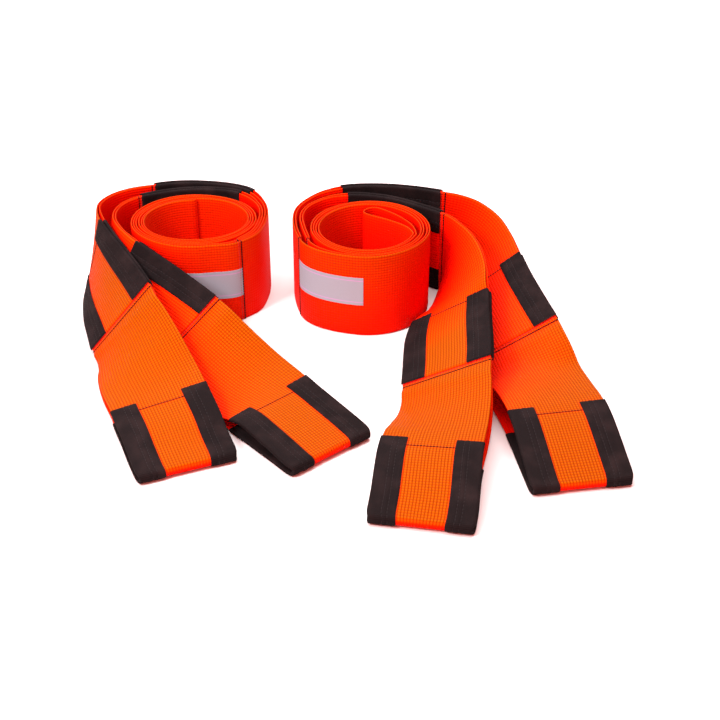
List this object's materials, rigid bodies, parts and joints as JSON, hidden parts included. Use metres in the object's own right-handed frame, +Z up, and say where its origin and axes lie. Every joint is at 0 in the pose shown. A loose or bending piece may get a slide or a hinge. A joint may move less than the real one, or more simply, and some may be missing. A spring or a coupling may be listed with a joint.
{
  "type": "forearm lifting straps",
  "caption": "Pair of flat webbing lifting straps, each rolled at the middle with two tails sewn into forearm loops that have bound edges.",
  "frame": {"origin": "on the floor under the middle of the whole object", "axes": "+Z up, +X to the right along the pair's longest side, -Y towards the loop ends"},
  "size_m": [0.4436, 0.4066, 0.0805],
  "materials": {
    "webbing": "woven, matt with a slight sheen",
    "binding": "woven tape, matt",
    "label": "woven label, smooth"
  },
  "bodies": {
    "right_strap": {"right_roll_webbing": "webbing", "right_label": "label", "right_inner_near_loop_webbing": "webbing", "right_inner_near_loop_binding_head_lower": "binding", "right_inner_near_loop_binding_foot_lower": "binding", "right_inner_near_loop_binding_head_upper": "binding", "right_inner_near_loop_binding_foot_upper": "binding", "right_inner_middle_loop_webbing": "webbing", "right_inner_middle_loop_binding_head_lower": "binding", "right_inner_middle_loop_binding_foot_lower": "binding", "right_inner_middle_loop_binding_head_upper": "binding", "right_inner_middle_loop_binding_foot_upper": "binding", "right_outer_near_loop_webbing": "webbing", "right_outer_near_loop_binding_head_lower": "binding", "right_outer_near_loop_binding_foot_lower": "binding", "right_outer_near_loop_binding_head_upper": "binding", "right_outer_near_loop_binding_foot_upper": "binding", "right_outer_middle_loop_webbing": "webbing", "right_outer_middle_loop_binding_head_lower": "binding", "right_outer_middle_loop_binding_foot_lower": "binding", "right_outer_middle_loop_binding_head_upper": "binding", "right_outer_middle_loop_binding_foot_upper": "binding"},
    "right_outer_end_loop": {"right_outer_end_loop_webbing": "webbing", "right_outer_end_loop_binding_head_round": "binding", "right_outer_end_loop_binding_foot_round": "binding"},
    "right_inner_end_loop": {"right_inner_end_loop_webbing": "webbing", "right_inner_end_loop_binding_head_round": "binding", "right_inner_end_loop_binding_foot_round": "binding"},
    "left_strap": {"left_roll_webbing": "webbing", "left_label": "label", "left_inner_near_loop_webbing": "webbing", "left_inner_near_loop_binding_head_lower": "binding", "left_inner_near_loop_binding_foot_lower": "binding", "left_inner_near_loop_binding_head_upper": "binding", "left_inner_near_loop_binding_foot_upper": "binding", "left_inner_middle_loop_webbing": "webbing", "left_inner_middle_loop_binding_head_lower": "binding", "left_inner_middle_loop_binding_foot_lower": "binding", "left_inner_middle_loop_binding_head_upper": "binding", "left_inner_middle_loop_binding_foot_upper": "binding", "left_outer_near_loop_webbing": "webbing", "left_outer_near_loop_binding_head_lower": "binding", "left_outer_near_loop_binding_foot_lower": "binding", "left_outer_near_loop_binding_head_upper": "binding", "left_outer_near_loop_binding_foot_upper": "binding", "left_outer_middle_loop_webbing": "webbing", "left_outer_middle_loop_binding_head_lower": "binding", "left_outer_middle_loop_binding_foot_lower": "binding", "left_outer_middle_loop_binding_head_upper": "binding", "left_outer_middle_loop_binding_foot_upper": "binding"},
    "left_outer_end_loop": {"left_outer_end_loop_webbing": "webbing", "left_outer_end_loop_binding_head_round": "binding", "left_outer_end_loop_binding_foot_round": "binding"},
    "left_inner_end_loop": {"left_inner_end_loop_webbing": "webbing", "left_inner_end_loop_binding_head_round": "binding", "left_inner_end_loop_binding_foot_round": "binding"}
  },
  "joints": [
    {"name": "left_strap_lift", "type": "slide", "parent": "right_strap", "child": "left_strap", "axis": [0, 0, 1], "range_m": [0, 0.1]},
    {"name": "right_outer_end_loop_lift", "type": "hinge", "parent": "right_strap", "child": "right_outer_end_loop", "pos_m": [0.14881, 0.01551, 0.0242], "axis": [-0.8779, -0.161, -0.451], "range_deg": [0, 7]},
    {"name": "right_inner_end_loop_lift", "type": "hinge", "parent": "right_strap", "child": "right_inner_end_loop", "pos_m": [0.08876, -0.03518, 0.02622], "axis": [-0.893, 0.108, -0.437], "range_deg": [0, 90]},
    {"name": "left_outer_end_loop_lift", "type": "hinge", "parent": "left_strap", "child": "left_outer_end_loop", "pos_m": [-0.17462, 0.03625, 0.03231], "axis": [-0.6569, -0.197, -0.7278], "range_deg": [0, 90]},
    {"name": "left_inner_end_loop_lift", "type": "hinge", "parent": "left_strap", "child": "left_inner_end_loop", "pos_m": [-0.118, 0.01354, 0.0331], "axis": [-0.6737, -0.5058, -0.5388], "range_deg": [0, 2.5]}
  ]
}
